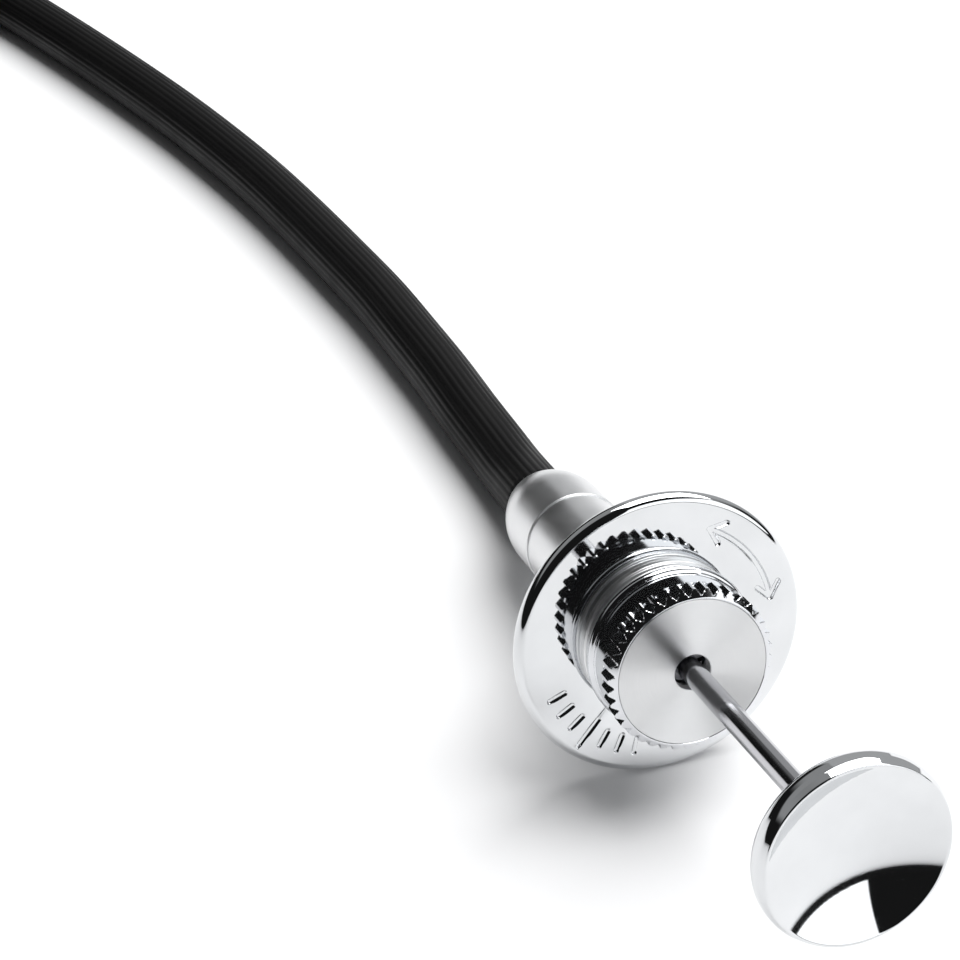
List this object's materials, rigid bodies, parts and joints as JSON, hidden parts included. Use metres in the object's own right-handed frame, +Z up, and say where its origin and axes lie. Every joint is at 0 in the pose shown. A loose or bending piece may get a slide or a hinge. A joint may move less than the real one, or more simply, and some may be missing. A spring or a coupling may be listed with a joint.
{
  "type": "cable shutter release",
  "caption": "Cable shutter release: a sprung thumb plunger through a round finger flange with a knurled lock collar pushes a pin out of a tapered camera tip at the far end of a black cable.",
  "frame": {"origin": "on the floor, at the middle of the head's footprint, the cable and the camera tip left out", "axes": "+Z up, the head lies along Y with the thumb button towards -Y and the cable leaving towards +Y"},
  "size_m": [0.0973, 0.1898, 0.0225],
  "materials": {
    "mirror_chrome": "polished mirror plating",
    "satin_nickel": "fine turned satin",
    "turned_aluminium": "circular turning marks",
    "dark_plating": "polished, darker plating",
    "brass": "plain machined",
    "spring_steel": "drawn wire",
    "wire_steel": "wound steel strand",
    "cable_cover": "semi-matt black sheath, faint lengthwise ribs",
    "tie_strap": "matt black strap"
  },
  "bodies": {
    "root": {"finger_flange": "mirror_chrome", "collar_spigot": "satin_nickel", "split_collet": "wire_steel", "barrel": "satin_nickel", "rear_ferrule": "satin_nickel", "spring_seat": "satin_nickel", "conduit_end": "wire_steel", "return_spring": "spring_steel", "cable_jacket": "cable_cover", "cable_coil": "cable_cover", "cable_tail": "cable_cover", "coil_tie": "tie_strap", "tip_ferrule": "satin_nickel", "tip_conduit_end": "wire_steel", "tip_guide": "satin_nickel", "tip_retaining_ring": "spring_steel"},
    "plunger": {"plunger_rod": "mirror_chrome", "thumb_button": "mirror_chrome", "guide_piston": "brass", "wire_clamp": "brass", "core_wire_head": "wire_steel"},
    "collar": {"lock_collar": "dark_plating", "collar_face": "turned_aluminium", "clamp_ring": "wire_steel"},
    "nipple": {"tip_nipple": "dark_plating", "tapered_thread": "satin_nickel"},
    "pin": {"tip_pin": "mirror_chrome", "core_wire_tip": "wire_steel"}
  },
  "joints": [
    {"name": "plunger_slide", "type": "slide", "parent": "root", "child": "plunger", "axis": [0, 0.9681, -0.2504], "range_m": [0, 0.013], "stiffness_N_per_m": 200, "springref_m": -0.004, "deforming": ["return_spring"]},
    {"name": "collar_turn", "type": "hinge", "parent": "root", "child": "collar", "pos_m": [0, -0.0004, 0.0106], "axis": [0, -0.9681, 0.2504], "range_deg": [0, 100]},
    {"name": "tip_pin_slide", "type": "slide", "parent": "root", "child": "pin", "axis": [-1, 0, 0], "range_m": [0, 0.013]},
    {"name": "nipple_turn", "type": "hinge", "parent": "root", "child": "nipple", "pos_m": [-0.0708, 0.1563, 0.0087], "axis": [-1, 0, 0], "continuous": true}
  ],
  "couplings": [
    {"joint": "tip_pin_slide", "follows": "plunger_slide", "ratio": 1}
  ]
}
